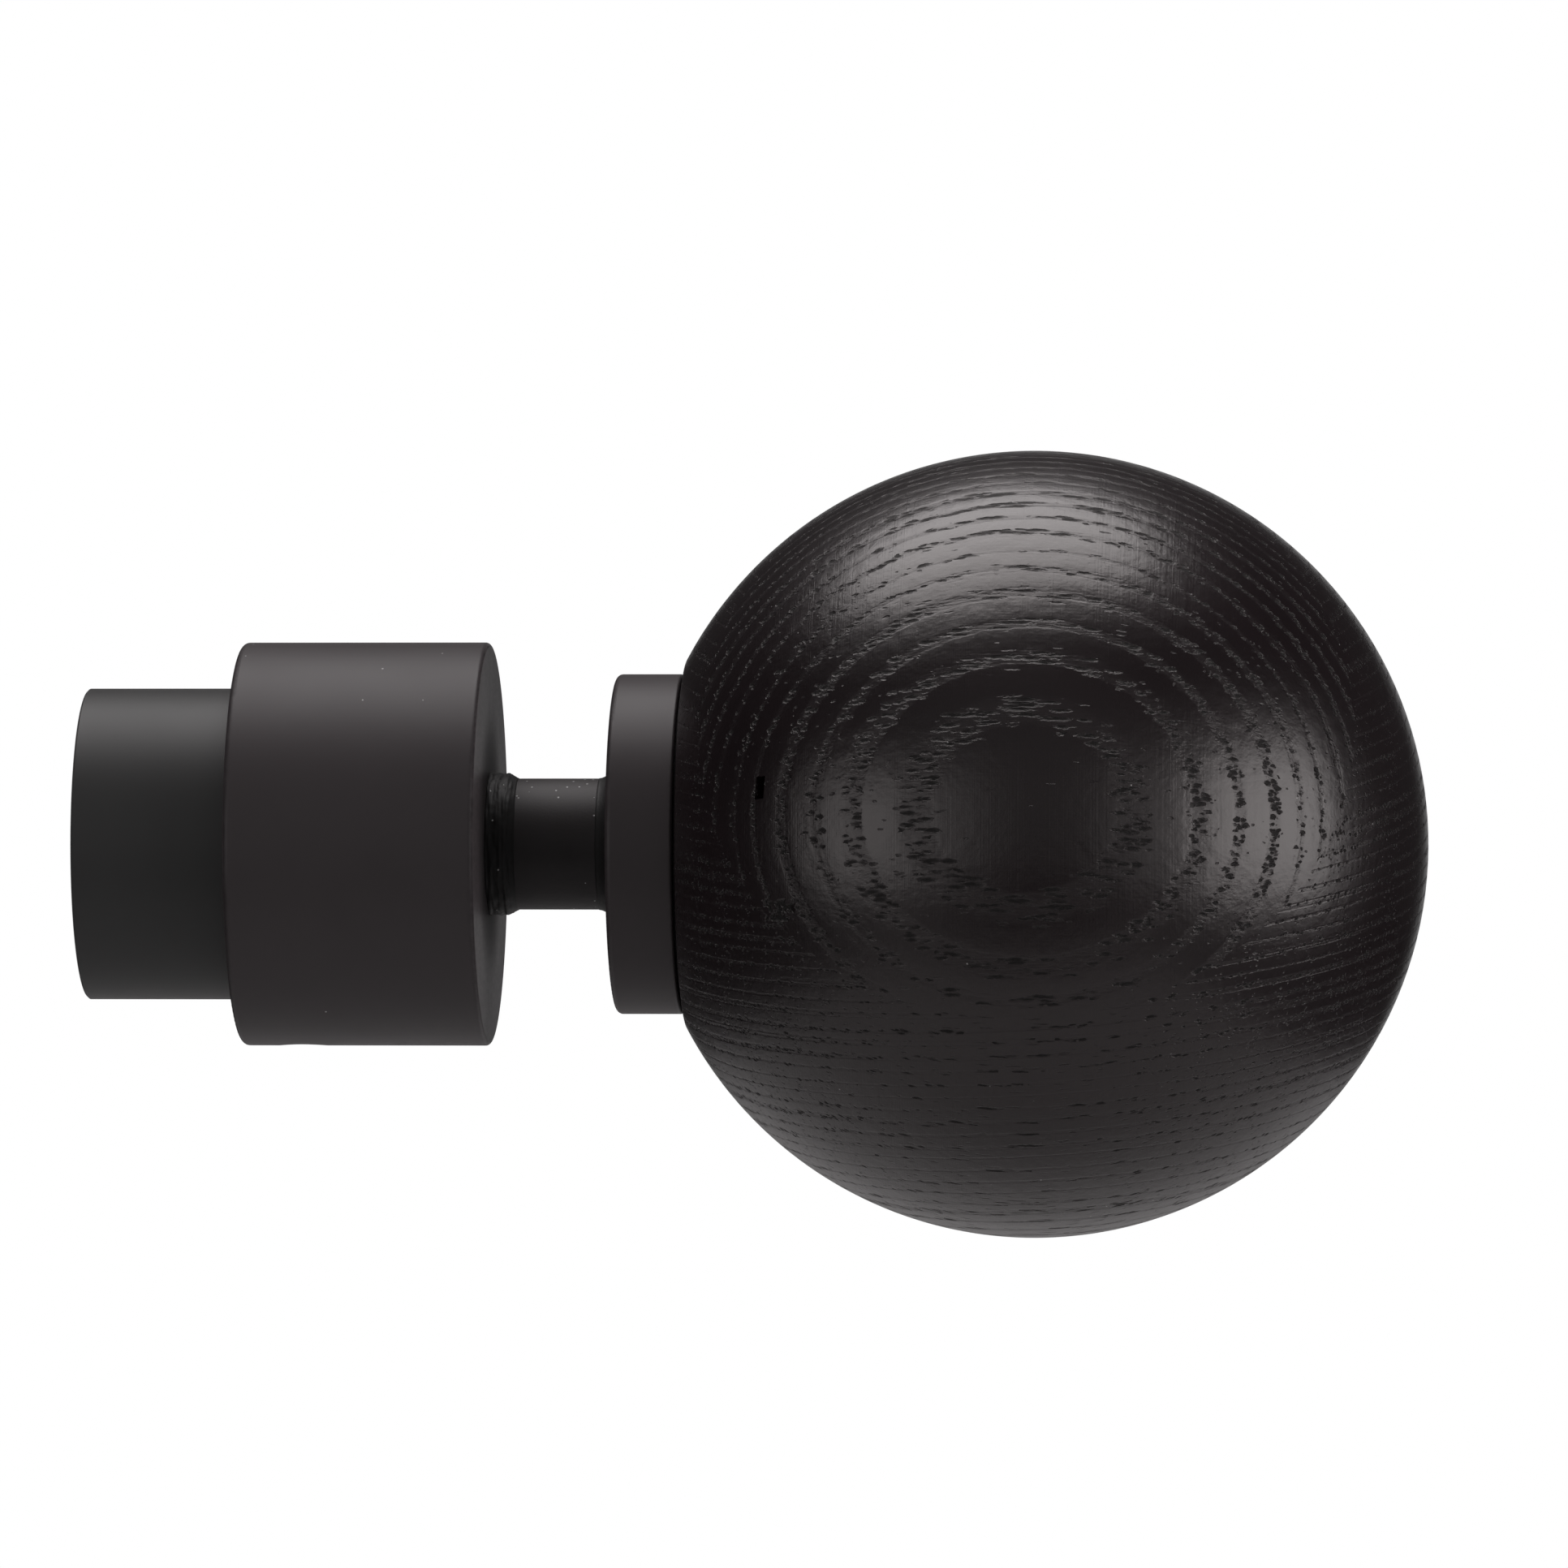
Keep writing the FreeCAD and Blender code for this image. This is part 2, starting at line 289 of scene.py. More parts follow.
# %% Pores
def pore_row(tree, shaken, cell_scale, shift, frayed, dropped):
    """Pores in long Voronoi cells, some dropped at random; gives the pits, a chance and their middles."""
    moved = vector_calc(tree, "ADD", stretch(tree, shaken, cell_scale), shift)
    cells = node(tree, "ShaderNodeTexVoronoi", {"Vector": moved, "Scale": 1.0})
    chance = node(tree, "ShaderNodeSeparateColor", {"Color": cells.outputs["Color"]}).outputs
    reach = ramp(tree, chance["Green"], 0.0, 1.0, 0.34, 0.66)
    edge = plus(tree, cells.outputs["Distance"], frayed)
    pit = ramp(tree, edge, times(tree, reach, 0.25), reach, 1.0, 0.0)
    pit = times(tree, pit, calc(tree, "GREATER_THAN", chance["Red"], dropped))
    middle = vector_calc(tree, "SUBTRACT", cells.outputs["Position"], shift)
    return pit, chance["Blue"], vector_calc(tree, "DIVIDE", middle, cell_scale)


def band_pores(tree, ask, place, shaken, cell_scale, shift, frayed, dropped):
    """Whole pores only: a vessel is open where its own middle lies in spring wood."""
    pit, chance, middle = pore_row(tree, shaken, cell_scale, shift, frayed, dropped)
    vessel = vector_calc(tree, "SUBTRACT", middle, vector_calc(tree, "SUBTRACT", shaken, place))
    vessel = vector_calc(tree, "ADD", stretch(tree, vessel, (0, 1, 1)), stretch(tree, place, (1, 0, 0)))
    limit = ramp(tree, chance, 0.0, 1.0, 0.10, 0.75)
    return times(tree, pit, calc(tree, "GREATER_THAN", spring_at(tree, vessel, ask), limit))


def open_pores(tree, ask, place):
    """Two overlaid sets of vessels in the spring bands, and a few finer ones anywhere."""
    across = calc(tree, "DIVIDE", 1.0, ask["Pore width"])
    along = calc(tree, "DIVIDE", 1.0, ask["Pore length"])
    cell_scale = node(tree, "ShaderNodeCombineXYZ", {"X": along, "Y": across, "Z": across}).outputs[0]
    wobble = node(tree, "ShaderNodeTexNoise", {"Vector": place, "Scale": 0.9, "Detail": 2.0})
    shaken = vector_calc(tree, "ADD", place, stretch(tree, wobble.outputs["Color"], (1.2, 0.22, 0.22)))
    frayed = noise(tree, stretch(tree, place, (1.6, 6.0, 6.0)), 1.0, 2.0, 0.6)
    frayed = times(tree, centred(tree, frayed), 0.60)
    first = band_pores(tree, ask, place, shaken, cell_scale, (0.0, 0.0, 0.0), frayed, ask["Dropped"])
    more_dropped = ramp(tree, ask["Dropped"], 0.0, 1.0, 0.4, 1.0)
    second = band_pores(tree, ask, place, shaken, cell_scale, (0.37, 5.5, 2.3), frayed, more_dropped)
    finer = stretch(tree, cell_scale, (1.6, 1.7, 1.7))
    most_dropped = minus(tree, 1.0, ask["Stray pores"])
    stray = pore_row(tree, shaken, finer, (0.0, 9.1, 0.0), frayed, most_dropped)[0]
    return largest(tree, first, second, times(tree, stray, 0.45))


# %% Ash grain group
SPRING_SINK = 0.012


def make_ash_grain():
    inputs = {
        **BOARD_INPUTS, "Pore length": ("Float", 5.0), "Pore width": ("Float", 0.5),
        "Pore depth": ("Float", 0.15), "Fibre height": ("Float", 0.01), "Dimple height": ("Float", 0.03),
        "Stray pores": ("Float", 0.10), "Dropped": ("Float", 0.10),
    }
    tree, given, result = shader_group("Ash grain", inputs, ("Height", "Pores", "Spring wood", "Shade"))
    ask = given.outputs
    place = place_in_ball(tree, node(tree, "ShaderNodeTexCoord").outputs["Object"])
    ragged = noise(tree, stretch(tree, place, (0.5, 1.6, 1.6)), 1.0, 3.0, 0.6)
    spring = spring_at(tree, place, ask, times(tree, centred(tree, ragged), 0.30))
    pores = open_pores(tree, ask, place)
    fibres = noise(tree, stretch(tree, place, (0.30, 4.5, 4.5)), 1.0, 2.0, 0.6)
    raised = ramp(tree, spring, 0.0, 0.6, 0.35, 1.5)
    lift = times(tree, centred(tree, fibres), ask["Fibre height"], raised)
    dimples = times(tree, noise(tree, place, 0.8, 3.0, 0.55), ask["Dimple height"])
    sunk = plus(tree, times(tree, pores, ask["Pore depth"]), times(tree, spring, SPRING_SINK))
    clouds = noise(tree, stretch(tree, place, (0.06, 0.16, 0.16)), 1.0, 3.0)
    feed(tree, result, Height=minus(tree, plus(tree, lift, dimples), sunk), Pores=pores,
         Spring_wood=spring, Shade=clouds)
    return tree


ash_grain = make_ash_grain()
print("ash grain group:", len(ash_grain.nodes), "nodes")


# %% [markdown]
# ## Shader group: dust
#
# Fine pale dust settles on a dark finish and shows as scattered specks, more of them where a face
# looks up. Voronoi points, most of them dropped at random, give specks of one size that never line up.

# %% Dust group
def make_dust():
    inputs = {"Speck size": ("Float", 0.08), "Spread": ("Float", 0.8), "Kept": ("Float", 0.1)}
    tree, given, result = shader_group("Dust", inputs, ("Specks",))
    ask = given.outputs
    points = {"Vector": on_piece(tree), "Scale": calc(tree, "DIVIDE", 1.0, ask["Spread"])}
    cells = node(tree, "ShaderNodeTexVoronoi", points)
    distance = times(tree, cells.outputs["Distance"], ask["Spread"])
    speck = ramp(tree, distance, times(tree, ask["Speck size"], 0.6), ask["Speck size"], 1.0, 0.0)
    chance = node(tree, "ShaderNodeSeparateColor", {"Color": cells.outputs["Color"]}).outputs["Green"]
    looks_up = parts_of(tree, node(tree, "ShaderNodeTexCoord").outputs["Normal"])[2]
    settled = times(tree, ask["Kept"], ramp(tree, looks_up, 0.1, 0.9, 0.15, 1.0))
    feed(tree, result, Specks=times(tree, speck, calc(tree, "LESS_THAN", chance, settled)))
    return tree


dust = make_dust()
print("dust group:", len(dust.nodes), "nodes")


# %% [markdown]
# ## Shader group: baked powder coat
#
# Powder paint flows a little as it bakes and sets with a soft orange-peel skin over a fine grain.
# Two noises of different size make that skin, and a slow one lets its gloss drift slightly.

# %% Powder coat group
def make_powder_coat():
    inputs = {"Peel size": ("Float", 1.2), "Peel height": ("Float", 0.004),
              "Grain size": ("Float", 0.18), "Grain height": ("Float", 0.0015)}
    tree, given, result = shader_group("Powder coat", inputs, ("Height", "Gloss drift"))
    ask = given.outputs
    place = on_piece(tree)
    peel = noise(tree, place, calc(tree, "DIVIDE", 1.0, ask["Peel size"]), 1.0)
    grain = noise(tree, place, calc(tree, "DIVIDE", 1.0, ask["Grain size"]), 1.0)
    height = plus(tree, times(tree, peel, ask["Peel height"]), times(tree, grain, ask["Grain height"]))
    feed(tree, result, Height=height, Gloss_drift=noise(tree, place, 0.12, 3.0))
    return tree


powder_coat = make_powder_coat()
print("powder coat group:", len(powder_coat.nodes), "nodes")


# %% [markdown]
# ## Shader group: lathe lines
#
# A turning tool leaves fine rings round a part. The group measures along the rod's axis and out from
# it, and makes lines of uneven strength in both, so it serves faces and walls alike. It also gives the
# two distances, with which a material finds a rim or a bore.

# %% Lathe group
def make_lathe_lines():
    inputs = {"Line pitch": ("Float", 0.15), "Line height": ("Float", 0.002),
              "Axis point": ("Vector", (0, 0, 0)), "Axis": ("Vector", (1, 0, 0))}
    tree, given, result = shader_group("Lathe lines", inputs, ("Height", "Lines", "Along", "Out"))
    ask = given.outputs
    place = vector_calc(tree, "SUBTRACT", on_piece(tree), ask["Axis point"])
    along = vector_calc(tree, "DOT_PRODUCT", place, ask["Axis"])
    from_axis = vector_calc(tree, "SUBTRACT", place, scaled(tree, ask["Axis"], along))
    out = vector_calc(tree, "LENGTH", from_axis)
    lines = noise_along(tree, calc(tree, "DIVIDE", plus(tree, along, out), ask["Line pitch"]))
    feed(tree, result, Height=times(tree, lines, ask["Line height"]), Lines=lines, Along=along, Out=out)
    return tree


lathe_lines = make_lathe_lines()
print("lathe lines group:", len(lathe_lines.nodes), "nodes")


# %% [markdown]
# ## Shader group: edge wear
#
# Handling rubs a finish thin along a part's rims. On a turned part a rim is a circle, so its mask is
# simply the distance from one place along the axis and one distance out from it, broken up by noise.

# %% Edge wear group
def make_edge_wear():
    labels = ("Along", "Out", "Rim along", "Rim out", "Width")
    tree, given, result = shader_group("Edge wear", {label: ("Float", 0.0) for label in labels}, ("Worn",))
    ask = given.outputs
    away = hypotenuse(tree, minus(tree, ask["Along"], ask["Rim along"]),
                      minus(tree, ask["Out"], ask["Rim out"]))
    broken = times(tree, noise(tree, on_piece(tree), 0.9, 4.0, 0.65), ask["Width"])
    feed(tree, result, Worn=ramp(tree, away, 0.0, broken, 1.0, 0.0))
    return tree


edge_wear = make_edge_wear()
print("edge wear group:", len(edge_wear.nodes), "nodes")


# %% [markdown]
# ## Starting a finish
#
# Each finish is one Principled shader. Numbers that are the same all over a piece are set on the
# shader itself, and only what varies over the surface comes through nodes.

# %% Start of a finish
def new_finish(name, **constants):
    """Makes a material and gives its node tree and its Principled shader."""
    made = bpy.data.materials.new(name)
    made.use_nodes = True
    shader = made.node_tree.nodes["Principled BSDF"]
    for key, value in constants.items():
        shader.inputs[key.replace("_", " ")].default_value = value
    return made, made.node_tree, shader


def bump(tree, height):
    """Turns a height in millimetres into a normal."""
    return node(tree, "ShaderNodeBump", {"Height": height, "Distance": MM, "Strength": 1.0}).outputs["Normal"]


def mix_colour(tree, factor, first, second):
    return node(tree, "ShaderNodeMix", {0: factor, 6: first, 7: second}, data_type="RGBA").outputs[2]


def grey(value, warm=0.0):
    """A grey with a little warmth in it."""
    return (value * (1 + warm), value, value * (1 + 0.3 * warm), 1.0)


# %% [markdown]
# ## Black stained ash
#
# The ball is stained nearly black and has a thin satin lacquer. Summer wood stays smooth and glossy,
# while spring wood is rough and full of pores that swallow the light. Wood is no metal, but a black
# surface that counts as partly metallic reflects less, which is a simple way to keep the pores as dark
# as the deep holes they are; their colour is made darker as well, as painted shade. Pale specks in the
# spring wood are dust and also painted glints at the pore rims. Two marks belong to this ball: a small
# square dent where a splinter came out, which is cut into the board's shape, and a ragged hollow close
# to the glue line, which is part of the finish: a bump, darkened with painted shade like the pores.

# %% The wood's finish
HOLLOW = Vector((58.10, -24.90, -5.10)) - BALL_CENTRE
HOLLOW_SIZE = (1.3, 6.0, 0.9)
HOLLOW_DEPTH = 0.3


def hollow_mark(tree, place):
    """Is 1 inside the ragged hollow, a small rounded box broken up by noise."""
    off = vector_calc(tree, "DIVIDE", vector_calc(tree, "SUBTRACT", place, tuple(HOLLOW)), HOLLOW_SIZE)
    parts = parts_of(tree, vector_calc(tree, "ABSOLUTE", off))
    far = largest(tree, parts[0], parts[1], parts[2])
    ragged = ramp(tree, noise(tree, place, 1.6, 3.0), 0.45, 0.6)
    return times(tree, ramp(tree, far, 0.75, 1.05, 1.0, 0.0), ragged)


def make_wood(name, board, painted_pore_shade, **pores):
    made, tree, shader = new_finish(name, IOR=1.5, Specular_Tint=(1.0, 0.968, 0.955, 1))
    grain = use_group(tree, ash_grain, Dimple_height=0.045, **board, **pores).outputs
    place = place_in_ball(tree, node(tree, "ShaderNodeTexCoord").outputs["Object"])
    hollow = hollow_mark(tree, place)
    turned = use_group(tree, lathe_lines, Line_pitch=0.7, Line_height=0.009).outputs
    height = plus(tree, minus(tree, grain["Height"], times(tree, hollow, HOLLOW_DEPTH)), turned["Height"])
    pores_with_painted_shade = largest(tree, grain["Pores"], hollow)
    body = mix_colour(tree, grain["Shade"], grey(0.0024, 0.85), grey(0.0050, 0.75))
    # Pores and the hollow get a darker colour: painted shade for their depth.
    body = mix_colour(tree, pores_with_painted_shade, body, grey(0.0018, 0.3))
    specks = use_group(tree, dust, Speck_size=0.085, Spread=0.8, Kept=0.24).outputs["Specks"]
    dust_and_glints = times(tree, specks, ramp(tree, grain["Spring wood"], 0.0, 0.5, 0.10, 0.75))
    # Pale specks, most of them in spring wood, are dust and also painted glints at the pore rims.
    body = mix_colour(tree, dust_and_glints, body, grey(0.30, 0.02))
    rough = plus(tree, 0.31, times(tree, grain["Spring wood"], 0.07), times(tree, pores_with_painted_shade, 0.30))
    # The metallic share darkens the pores and the hollow as painted shade, not as a real metal.
    feed(tree, shader, Base_Color=body, Roughness=calc(tree, "MINIMUM", rough, 0.95),
         Metallic=times(tree, pores_with_painted_shade, painted_pore_shade), Normal=bump(tree, height))
    return made


front_wood = make_wood("front_board_wood", FRONT_BOARD, 0.50, Pore_length=2.8, Pore_width=0.42,
                       Pore_depth=0.080, Fibre_height=0.022, Stray_pores=0.03, Dropped=0.06)
rear_wood = make_wood("rear_board_wood", REAR_BOARD, 0.60, Pore_length=3.4, Pore_width=0.30,
                      Pore_depth=0.070, Fibre_height=0.016, Stray_pores=0.12, Dropped=0.34)
print("wood finishes:", front_wood.name, rear_wood.name)


# %% [markdown]
# ## Shapes spun on a lathe
#
# Most pieces here are turned: a profile spun about an axis. The helper spins a list of points, each a
# distance along and a distance out, into one closed skin. A point on the axis becomes a single vertex,
# so no pole is left open.

# %% New pieces
def new_piece(name, mesh):
    """Puts a mesh in the scene as an object."""
    piece = bpy.data.objects.new(name, mesh)
    bpy.context.scene.collection.objects.link(piece)
    return piece


def finish_shape(name, shape):
    """Turns a built shape into a piece whose faces point outwards."""
    bmesh.ops.recalc_face_normals(shape, faces=shape.faces)
    mesh = bpy.data.meshes.new(name)
    shape.to_mesh(mesh)
    shape.free()
    return new_piece(name, mesh)


# %% Spin a profile
def spin(name, profile, steps, closed_ring=False):
    """Spins (along, out) points, in millimetres, about the rod's axis into a closed mesh."""
    shape = bmesh.new()
    rings = []
    for along, out in profile:
        ring = []
        for step in range(steps if out > 1e-6 else 1):
            turn = 2 * math.pi * step / steps
            ring.append(shape.verts.new((along * MM, out * math.cos(turn) * MM, out * math.sin(turn) * MM)))
        rings.append(ring)
    pairs = list(zip(rings, rings[1:]))
    if closed_ring:
        pairs.append((rings[-1], rings[0]))
    for first, second in pairs:
        for step in range(steps):
            after = (step + 1) % steps
            corners = [first[step % len(first)], second[step % len(second)],
                       second[after % len(second)], first[after % len(first)]]
            shape.faces.new(list(dict.fromkeys(corners)))
    return finish_shape(name, shape)


def arc(centre_along, centre_out, radius, start, end, steps):
    """Points of an arc in the plane of a profile; angles in degrees from the axis."""
    points = []
    for step in range(steps + 1):
        turn = math.radians(start + (end - start) * step / steps)
        points.append((centre_along + radius * math.cos(turn), centre_out + radius * math.sin(turn)))
    return points


def straight(first, last, steps):
    """Points from one profile point to another, without the first."""
    return [(first[0] + (last[0] - first[0]) * s / steps, first[1] + (last[1] - first[1]) * s / steps)
            for s in range(1, steps + 1)]


# %% Grow a piece with geometry nodes
def shaped_mesh(piece):
    """Gives a piece's mesh with its modifiers applied."""
    bpy.context.view_layer.update()
    ready = piece.evaluated_get(bpy.context.evaluated_depsgraph_get())
    return bpy.data.meshes.new_from_object(ready)


def grown(piece, tree, name, material, **values):
    """Runs a geometry tree on a piece once and gives the result as a plain, smooth mesh object."""
    modifier = piece.modifiers.new("shape", "NODES")
    modifier.node_group = tree
    sockets = {s.name: s.identifier for s in tree.interface.items_tree if s.in_out == "INPUT"}
    values["Finish"] = material
    for key, value in values.items():
        modifier[sockets[key.replace("_", " ")]] = value
    mesh = shaped_mesh(piece)
    mesh.name = name
    mesh.shade_smooth()
    bpy.data.objects.remove(piece)
    print(name + ":", len(mesh.polygons), "faces")
    return new_piece(name, mesh)


def geometry_group(name, inputs):
    """Starts a geometry tree that has a geometry, a finish and the named inputs."""
    sockets = {"Geometry": ("Geometry", None), "Finish": ("Material", None), **inputs}
    return new_group("GeometryNodeTree", name, sockets, {"Geometry": "Geometry"})


def push_points(tree, given, result, direction, distance):
    """Ends a geometry tree: moves its points, and makes them real geometry with their finish."""
    moved = node(tree, "GeometryNodeSetPosition", {
        "Geometry": given.outputs["Geometry"], "Offset": scaled(tree, direction, distance)}).outputs[0]
    real = node(tree, "GeometryNodeRealizeInstances", {0: moved}).outputs[0]
    painted = node(tree, "GeometryNodeSetMaterial", {
        "Geometry": real, "Material": given.outputs["Finish"]}).outputs[0]
    feed(tree, result, Geometry=painted)
    return tree


def outward(tree, parts):
    """Gives the direction straight out from the rod's axis, and the distance from it."""
    flat = node(tree, "ShaderNodeCombineXYZ", {"Y": parts[1], "Z": parts[2]}).outputs[0]
    return vector_calc(tree, "NORMALIZE", flat), hypotenuse(tree, parts[1], parts[2])


# %% Cut a recess
def cut_away(piece, cutters):
    """Cuts closed shapes out of a piece and clears them away."""
    for cutter in cutters:
        cut = piece.modifiers.new("cut", "BOOLEAN")
        cut.operation = "DIFFERENCE"
        cut.solver = "EXACT"
        cut.object = cutter
    mesh = shaped_mesh(piece)
    piece.modifiers.clear()
    piece.data = mesh
    for cutter in cutters:
        bpy.data.objects.remove(cutter)
    mesh.set_sharp_from_angle(angle=math.radians(38))


def prism(name, corners, start, end):
    """A closed prism along the rod's axis, from its corners across it, in millimetres."""
    shape = bmesh.new()
    near = [shape.verts.new((start * MM, y * MM, z * MM)) for y, z in corners]
    far = [shape.verts.new((end * MM, y * MM, z * MM)) for y, z in corners]
    shape.faces.new(near)
    shape.faces.new(far)
    for index in range(len(corners)):
        after = (index + 1) % len(corners)
        shape.faces.new((near[index], near[after], far[after], far[index]))
    return finish_shape(name, shape)


# %% [markdown]
# ## The ball
#
# The ball was turned from two boards glued face to face, so its grain changes direction across a flat
# plane. It is spun here as one blank with its flat seat and the hole for the insert. A geometry tree
# then wears the spring bands of each board down, fading to nothing at the glue plane, and a cut along
# that plane gives the two boards. Their edges match, because they come from the same skin.

# %% The ball's blank
FLAT_RADIUS = 15.0
FLAT_ROUND = 0.7
INSERT_HOLE_RADIUS = 4.5
INSERT_HOLE_LENGTH = 16.0
WASHER_RADIUS = box_mm("fibre_washer")[1].y
LIP_HEIGHT = 0.11
BALL_STEPS = 384
BALL_RINGS = 188


def ball_profile():
    """The ball's outline from the bottom of its hole, over the flat seat, to its far end."""
    hole_end = SEAT_FACE_X + INSERT_HOLE_LENGTH
    points = [(hole_end, 0.0), (hole_end, INSERT_HOLE_RADIUS)]
    points += straight(points[-1], (SEAT_FACE_X, INSERT_HOLE_RADIUS), 8)
    points += straight(points[-1], (SEAT_FACE_X, WASHER_RADIUS + 0.25), 8)
    points += [(SEAT_FACE_X - LIP_HEIGHT, WASHER_RADIUS + 0.35),
               (SEAT_FACE_X - LIP_HEIGHT, FLAT_RADIUS - FLAT_ROUND - 0.25)]
    reach = BALL_CENTRE.x - SEAT_FACE_X - FLAT_ROUND
    round_out = math.sqrt((BALL_RADIUS - FLAT_ROUND) ** 2 - reach ** 2)
    turn = math.degrees(math.atan2(round_out, -reach))
    points += arc(SEAT_FACE_X + FLAT_ROUND, round_out, FLAT_ROUND, 180, turn, 5)
    points += arc(BALL_CENTRE.x, 0, BALL_RADIUS, turn, 0, BALL_RINGS)[1:-1]
    points.append((BALL_CENTRE.x + BALL_RADIUS, 0.0))
    return points


ball_blank = spin("ball_blank", ball_profile(), BALL_STEPS)
print("ball blank:", len(ball_blank.data.polygons), "faces")


# %% Wear the spring bands down
FRONT_WEAR = 0.022
REAR_WEAR = 0.004
SIDES = (("Front", FRONT_BOARD), ("Rear", REAR_BOARD))


def make_worn_rings():
    inputs = {"Glue direction": ("Vector", (0, -1, 0)), "Glue distance": ("Float", 18.0),
              "Front wear": ("Float", 0.03), "Rear wear": ("Float", 0.01)}
    for side, _ in SIDES:
        inputs.update({side + " " + label: socket for label, socket in BOARD_INPUTS.items()})
    tree, given, result = geometry_group("Worn rings", inputs)
    ask = given.outputs
    place = place_in_ball(tree, node(tree, "GeometryNodeInputPosition").outputs[0])
    above = minus(tree, vector_calc(tree, "DOT_PRODUCT", place, ask["Glue direction"]), ask["Glue distance"])
    in_front = calc(tree, "GREATER_THAN", above, 0.0)
    depths = []
    for side, share in (("Front", in_front), ("Rear", minus(tree, 1.0, in_front))):
        board = {label: ask[side + " " + label] for label in BOARD_INPUTS}
        depths.append(times(tree, spring_at(tree, place, board), share, ask[side + " wear"]))
    fade = ramp(tree, calc(tree, "ABSOLUTE", above), 0.1, 1.2)
    on_skin = ramp(tree, vector_calc(tree, "LENGTH", place), BALL_RADIUS - 0.5, BALL_RADIUS - 0.05)
    depth = times(tree, plus(tree, *depths), fade, on_skin, -MM)
    return push_points(tree, given, result, vector_calc(tree, "NORMALIZE", place), depth)


board_values = {side + " " + label: value for side, board in SIDES for label, value in board.items()}
whole_ball = grown(ball_blank, make_worn_rings(), "whole_ball", front_wood, Front_wear=FRONT_WEAR,
                   Rear_wear=REAR_WEAR, Glue_direction=tuple(GLUE_DIRECTION),
                   Glue_distance=GLUE_DISTANCE, **board_values)


# %% Cut the ball along its glue plane
def cut_board(name, keep_front, finish):
    """Cuts one board from the whole ball, closes it with the glued face, and gives it its wood."""
    shape = bmesh.new()
    shape.from_mesh(whole_ball.data)
    everything = shape.verts[:] + shape.edges[:] + shape.faces[:]
    cut = bmesh.ops.bisect_plane(shape, geom=everything, dist=1e-7,
                                 plane_co=(BALL_CENTRE + GLUE_DIRECTION * GLUE_DISTANCE) * MM,
                                 plane_no=GLUE_DIRECTION, clear_inner=keep_front,
                                 clear_outer=not keep_front)
    rim = [e for e in cut["geom_cut"] if isinstance(e, bmesh.types.BMEdge)]
    glued = bmesh.ops.contextual_create(shape, geom=rim)["faces"]
    bmesh.ops.triangulate(shape, faces=glued)
    open_edges = sum(not e.is_manifold for e in shape.edges)
    piece = finish_shape(name, shape)
    piece.data.materials.clear()
    piece.data.materials.append(finish)
    piece.data.shade_smooth()
    triangles = sum(len(p.vertices) - 2 for p in piece.data.polygons)
    print(name + ":", triangles, "triangles,", open_edges, "open edges")
    return piece


front_board = cut_board("front_board", True, front_wood)
rear_board = cut_board("rear_board", False, rear_wood)
bpy.data.objects.remove(whole_ball)

# %% The dent
DENT_SIDE = Vector((-20.82, -23.85, 4.60)).normalized()
DENT_HALF_WIDTH = 0.5
DENT_HALF_HEIGHT = 0.95
DENT_DEPTH = 1.3
dent_corners = [(-DENT_HALF_WIDTH, -DENT_HALF_HEIGHT), (DENT_HALF_WIDTH, -DENT_HALF_HEIGHT * 0.9),
                (DENT_HALF_WIDTH * 0.9, DENT_HALF_HEIGHT), (-DENT_HALF_WIDTH, DENT_HALF_HEIGHT * 0.95)]
dent_punch = prism("dent_punch", dent_corners, BALL_RADIUS - DENT_DEPTH, BALL_RADIUS + 1.0)
turn_to_side = DENT_SIDE.to_track_quat("X", "Z").to_matrix().to_4x4()
dent_punch.data.transform(Matrix.Translation(BALL_CENTRE * MM) @ turn_to_side)
cut_away(front_board, [dent_punch])
print("dent cut, front board now has", len(front_board.data.polygons), "faces")

# %% Join the boards to the model
for board in (front_board, rear_board):
    board.data.set_sharp_from_angle(angle=math.radians(50))
    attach(board, "ball")
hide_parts("ball_front_board")
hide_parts("ball_rear_board")
print("boards joined to the ball:", front_board.name, rear_board.name)


# %% [markdown]
# ## Painted steel
#
# Collar, neck and disc are welded together, blasted and powder coated in one piece, in a warm satin
# black. The tube has its own, slightly cooler paint and was sawn after painting, so its cut face is
# bare. Rims are rubbed a little darker and smoother, and the neck keeps dust that the cloth misses.
# The collar's face is painted paler towards its rim, as painted light, and darker round the weld, as
# painted shade. The neck and the weld beads carry the same coat, but get darker copies of it as
# painted shade for the narrow space between collar and disc.

# %% Wear on the paint
def worn_rims(tree, turned, rims):
    """Is 1 along the rims, each a place along the axis and a distance out."""
    worn = 0.0
    for along, out in rims:
        mask = use_group(tree, edge_wear, Along=turned["Along"], Out=turned["Out"], Rim_along=along,
                         Rim_out=out, Width=0.9).outputs["Worn"]
        worn = largest(tree, worn, mask)
    return worn


def face_painted_light_and_shade(tree, turned, face):
    """Gives where a face, a place along the axis, gets painted light towards its rim and painted shade round
    the weld.
    """
    on_face = ramp(tree, turned["Along"], face - 0.30, face - 0.05)
    outer = ramp(tree, turned["Out"], NECK_RADIUS - 0.3, collar_high.y - 4.5)
    streaks = noise(tree, stretch(tree, on_piece(tree), (1, 0.5, 2.2)), 1.0, 4.0, 0.7)
    painted_light_on_face = times(tree, on_face, outer, ramp(tree, streaks, 0.3, 0.7, 0.5, 1.0))
    return painted_light_on_face, times(tree, on_face, minus(tree, 1.0, outer))


